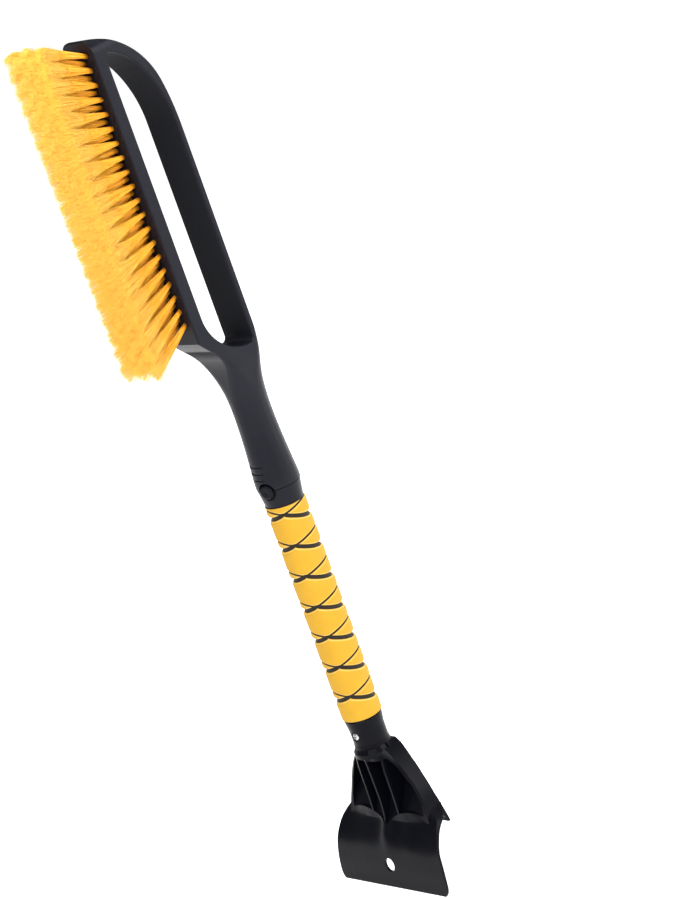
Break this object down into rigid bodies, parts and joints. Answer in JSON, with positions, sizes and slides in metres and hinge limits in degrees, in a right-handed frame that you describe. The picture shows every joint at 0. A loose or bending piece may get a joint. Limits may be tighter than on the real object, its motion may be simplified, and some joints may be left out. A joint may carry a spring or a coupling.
{
  "type": "windshield ice scraper and snow brush",
  "caption": "Long-handled car tool with a bristled snow brush and hand loop at one end, a cushioned grip in the middle and a fan-shaped scraping blade at the other.",
  "frame": {"origin": "on the handle's axis, halfway along the foam grip", "axes": "+Z along the handle towards the brush, -X towards the side the bristles point to, Y across the blade's width"},
  "size_m": [0.1007, 0.1234, 0.7059],
  "materials": {
    "tube": "satin",
    "grip_foam": "matte",
    "head_plastic": "satin",
    "collar_plastic": "satin",
    "button_plastic": "satin",
    "scraper_plastic": "satin",
    "bristles": "matte",
    "steel": "satin",
    "screw_chrome": "polished"
  },
  "bodies": {
    "handle": {"handle_tube": "tube", "foam_grip": "grip_foam", "latch_collar": "collar_plastic", "button_spring": "steel", "scraper_head": "scraper_plastic", "scraper_screw": "screw_chrome"},
    "brush_head": {"brush_head_frame": "head_plastic", "bristle_row_1": "bristles", "bristle_row_2": "bristles", "bristle_row_3": "bristles", "bristle_row_4": "bristles", "bristle_row_5": "bristles", "bristle_end_tufts": "bristles", "tuft_anchors": "steel"},
    "release_button": {"release_button": "button_plastic"}
  },
  "joints": [
    {"name": "brush_head_pull", "type": "slide", "parent": "handle", "child": "brush_head", "axis": [0, 0, 1], "range_m": [0, 0.045]},
    {"name": "release_button_press", "type": "slide", "parent": "handle", "child": "release_button", "axis": [0.9659, 0.2588, 0], "range_m": [0, 0.0026], "stiffness_N_per_m": 800, "springref_m": -0.002, "deforming": ["button_spring"]}
  ]
}
